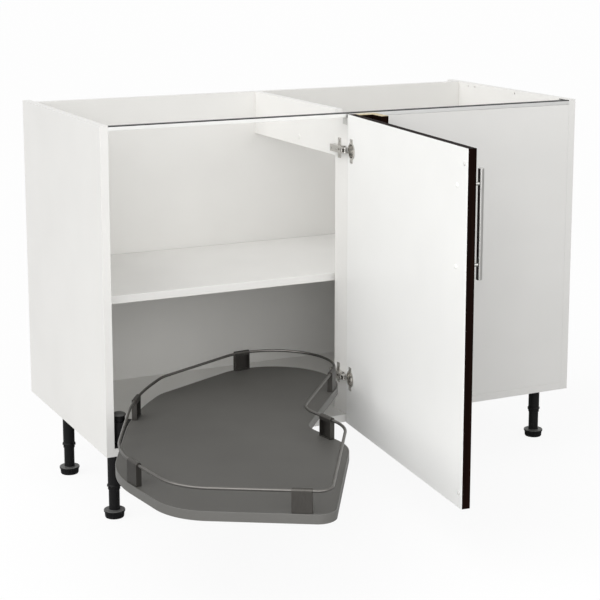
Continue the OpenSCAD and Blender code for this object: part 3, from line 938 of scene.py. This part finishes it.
def circle(number):
    """One of the tray's circles, in the frame's own metres."""
    x, y, radius = TRAY_CIRCLES[number % len(TRAY_CIRCLES)]
    return CARCASS_MIDDLE.to_2d() + Vector((x, y)) * MM, radius * MM


def heading(number):
    """The direction of the straight that leaves one circle for the next."""
    (here, radius), (there, next_radius) = circle(number), circle(number + 1)
    step = there - here
    return math.atan2(step.y, step.x) + math.asin((radius - next_radius) / step.length)


def tray_outline(inset=0.0):
    """Points round the tray, anticlockwise, drawn in by an inset."""
    points = []
    for number, (_, _, size) in enumerate(TRAY_CIRCLES):
        centre, radius = circle(number)
        first = heading(number - 1)
        bend = (heading(number) - first) % (2 * math.pi)
        if size < 0:
            bend -= 2 * math.pi
        steps = max(3, math.ceil(abs(bend) / OUTLINE_STEP))
        for step in range(steps + 1):
            angle = first + bend * step / steps
            points.append(centre + (radius - inset) * Vector((math.sin(angle), -math.cos(angle))))
    return points


def plate_of(points, low, high):
    """A flat plate with the given outline."""
    deselect()
    bpy.ops.mesh.primitive_circle_add(
        vertices=len(points), radius=0.1, location=(0, 0, 0), fill_type="NGON",
    )
    piece = bpy.context.object
    for vertex, point in zip(piece.data.vertices, points):
        vertex.co = (point.x, point.y, low)
    bpy.ops.object.mode_set(mode="EDIT")
    bpy.ops.mesh.select_all(action="SELECT")
    bpy.ops.mesh.extrude_region_move(TRANSFORM_OT_translate={"value": (0, 0, high - low)})
    close_skin()
    return piece


def make_tray():
    """The tray's board and the edge band round it."""
    low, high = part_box("tray_edging")
    board = plate_of(tray_outline(BOARD_INSET), low.z + 0.1 * MM, high.z - 0.05 * MM)
    stands_for(ease_edges(board, 0.5 * MM, 2, 60), "tray_board")
    band = plate_of(tray_outline(), low.z, high.z)
    cut(band, plate_of(tray_outline(BAND_WIDTH), low.z - 1 * MM, high.z + 1 * MM))
    stands_for(ease_edges(band, 0.7 * MM, 3, 60), "tray_edging")


def make_rail_wire():
    """One bent wire that follows the tray's edge."""
    low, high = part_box("tray_rail")
    wire = bpy.data.curves.new("tray_rail", "CURVE")
    wire.dimensions = "3D"
    wire.bevel_depth = (high.z - low.z) / 2
    wire.bevel_resolution = 5
    points = tray_outline(WIRE_INSET)
    spline = wire.splines.new("POLY")
    spline.points.add(len(points) - 1)
    spline.use_cyclic_u = True
    for place, point in zip(spline.points, points):
        place.co = (point.x, point.y, (high.z + low.z) / 2, 1)
    piece = bpy.data.objects.new("tray_rail", wire)
    bpy.context.scene.collection.objects.link(piece)
    take(piece)
    bpy.ops.object.convert(target="MESH")
    piece = bpy.context.object
    bpy.ops.object.mode_set(mode="EDIT")
    bpy.ops.mesh.select_all(action="SELECT")
    bpy.ops.mesh.remove_doubles(threshold=WELD)
    close_skin()
    stands_for(smooth(piece, 60), "tray_rail")


def along_wire(spot):
    """The wire's nearest point to a spot, and the way it runs there."""
    points = tray_outline(WIRE_INSET)
    found = []
    for start, end in zip(points, points[1:] + points[:1]):
        step = end - start
        if step.length > 0.1 * MM:
            share = min(1, max(0, (spot - start).dot(step) / step.length_squared))
            point = start + step * share
            found.append(((spot - point).length, point, step.normalized()))
    _, point, way = min(found, key=lambda row: row[0])
    return point, way


CLIP_HALF_WIDTH = 18.5 * MM
CLIP_HALF_DEPTH = 5.5 * MM
CLIP_WALL = 2.5 * MM
# How much of the clip's height the roll over the wire takes
CLIP_ROLL = 11 * MM


def select_long_top_edges(piece, top):
    """Selects the two upper edges that run along X, and goes to edit mode."""
    take(piece)
    bpy.ops.object.mode_set(mode="EDIT")
    bpy.ops.mesh.select_mode(type="EDGE")
    bpy.ops.mesh.select_all(action="DESELECT")
    bpy.ops.object.mode_set(mode="OBJECT")
    for edge in piece.data.edges:
        first, second = (piece.data.vertices[index].co for index in edge.vertices)
        edge.select = min(first.z, second.z) > top - WELD and abs(first.y - second.y) < WELD
    bpy.ops.object.mode_set(mode="EDIT")


def make_clip_pattern(tall):
    """One folded clip about the origin: a plate, two cheeks and a roll over the wire."""
    wide, deep, wall = CLIP_HALF_WIDTH, CLIP_HALF_DEPTH, CLIP_WALL
    clip = block(Vector((-wide, -deep, 0)), Vector((wide, deep, tall)))
    select_long_top_edges(clip, tall)
    bpy.ops.mesh.bevel(offset=deep * 0.94, segments=6, profile=0.5, affect="EDGES")
    bpy.ops.mesh.select_mode(type="VERT")
    bpy.ops.object.mode_set(mode="OBJECT")
    hollow = block(
        Vector((wall - wide, wall - deep, wall)),
        Vector((wide - wall, deep + 2 * MM, tall - CLIP_ROLL)),
    )
    return ease_edges(cut(clip, hollow), 0.4 * MM, 2, 50)


def make_clips():
    """Folded clips that stand on the board and close over the wire."""
    low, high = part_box("rail_clips")
    pattern = make_clip_pattern(high.z - low.z)
    clips = []
    for spot in CLIP_SPOTS:
        point, way = along_wire(CARCASS_MIDDLE.to_2d() + Vector(spot) * MM)
        place = Matrix.Translation((point.x, point.y, low.z))
        clips.append(copy_of(pattern, place @ Matrix.Rotation(math.atan2(way.y, way.x), 4, "Z")))
    drop(pattern)
    stands_for(joined(clips), "rail_clips")


make_boards()
make_shelf_pegs()
make_rail_screw_cap()
make_front_rail()
make_all_screws()
make_sleeves()
make_feet()
make_bumpers()
make_handle()
make_hinges()
make_column()
make_arms()
make_tray()
make_rail_wire()
make_clips()

for node_name, node_object in frame["nodes"].items():
    paint(node_object, finish_of(node_name))


# Room, light and camera

# Share of the floor that the camera sees as plain white; the rest keeps the shadow
FLOOR_WHITE = 0.9
FLOOR_SIZE = 160
# The sky's strength as light; the camera and mirrors see it at full white
SKY = 0.53
# The broad soft light: its strength, the way it shines and how wide it spreads
SUN = 1.75
SUN_WAY = Vector((1, 0.14, -0.75))
SUN_SPREAD = math.radians(70)
# Soft square lamps: place, the point that each is aimed at, size and power
LAMPS = {
    "left lamp": (Vector((-0.7, -2.2, 1.0)), Vector((0.5, -0.1, 0.45)), 1.6, 17),
    "front lamp": (Vector((0.9, -3.0, 1.9)), Vector((0.6, 0.0, 0.45)), 1.8, 20),
}
# The photograph's viewpoint, found from the carcass's and the door's corners
CAMERA_PLACE = CARCASS_MIDDLE + Vector((-1.667, -3.125, 1.276))
CAMERA_PITCH = math.radians(90 - 10.09)
CAMERA_TURN = math.radians(-26.09)
# Sensor width and lens in mm, and the shift as a share of the sensor
SENSOR = 36
LENS = 95.3
SHIFT = -0.15


def in_scene(name, data):
    """A new object in the scene for a lamp's or a camera's settings."""
    made = bpy.data.objects.new(name, data)
    bpy.context.scene.collection.objects.link(made)
    return made


def facing(way):
    """The turn that makes a lamp shine along a direction."""
    return way.to_track_quat("-Z", "Y").to_euler()


def add_floor():
    """The pale floor, wide enough to fill the view, and whiter to the camera than to the object."""
    deselect()
    bpy.ops.mesh.primitive_plane_add(size=FLOOR_SIZE, location=(0, 0, 0))
    floor = bpy.context.object
    floor.name = "studio_floor"
    material = bpy.data.materials.new("pale floor")
    material.use_nodes = True
    tree = material.node_tree
    surface = tree.nodes["Principled BSDF"]
    surface.inputs["Roughness"].default_value = 0.9
    seen = tree.nodes.new("ShaderNodeLightPath").outputs["Is Camera Ray"]
    colour = blend_colours(tree, seen, tone(190, 190, 190), tone(252, 252, 252))
    tree.links.new(colour, surface.inputs["Base Color"])
    white = tree.nodes.new("ShaderNodeEmission")
    mix = tree.nodes.new("ShaderNodeMixShader")
    tree.links.new(math_node(tree, "MULTIPLY", seen, FLOOR_WHITE), mix.inputs[0])
    tree.links.new(surface.outputs[0], mix.inputs[1])
    tree.links.new(white.outputs[0], mix.inputs[2])
    tree.links.new(mix.outputs[0], tree.nodes["Material Output"].inputs["Surface"])
    paint(floor, material)


def light_room():
    """An even white sky, one broad soft light from the upper left, and two soft lamps in front."""
    world = bpy.data.worlds.new("studio sky")
    bpy.context.scene.world = world
    world.use_nodes = True
    tree = world.node_tree
    sky = tree.nodes["Background"]
    sky.inputs["Color"].default_value = (1, 1, 1, 1)
    path = tree.nodes.new("ShaderNodeLightPath")
    direct = math_node(tree, "MAXIMUM", path.outputs["Is Camera Ray"], path.outputs["Is Glossy Ray"])
    direct = math_node(tree, "MAXIMUM", direct, path.outputs["Is Transmission Ray"])
    tree.links.new(spread(tree, direct, 0.0, 1.0, SKY, 1.0), sky.inputs["Strength"])
    light = bpy.data.lights.new("soft light", "SUN")
    light.energy = SUN
    light.angle = SUN_SPREAD
    in_scene("soft light", light).rotation_euler = facing(SUN_WAY)
    for name, (place, target, size, power) in LAMPS.items():
        light = bpy.data.lights.new(name, "AREA")
        light.size = size
        light.energy = power
        lamp = in_scene(name, light)
        lamp.location = place
        lamp.rotation_euler = facing(target - place)


def add_camera():
    """The camera of the photograph."""
    lens = bpy.data.cameras.new("camera")
    lens.sensor_width = SENSOR
    lens.lens = LENS
    lens.shift_y = SHIFT
    camera = in_scene("camera", lens)
    camera.location = CAMERA_PLACE
    camera.rotation_euler = (CAMERA_PITCH, 0, CAMERA_TURN)
    bpy.context.scene.camera = camera


add_floor()
light_room()
add_camera()
bpy.context.scene.view_settings.view_transform = "Standard"
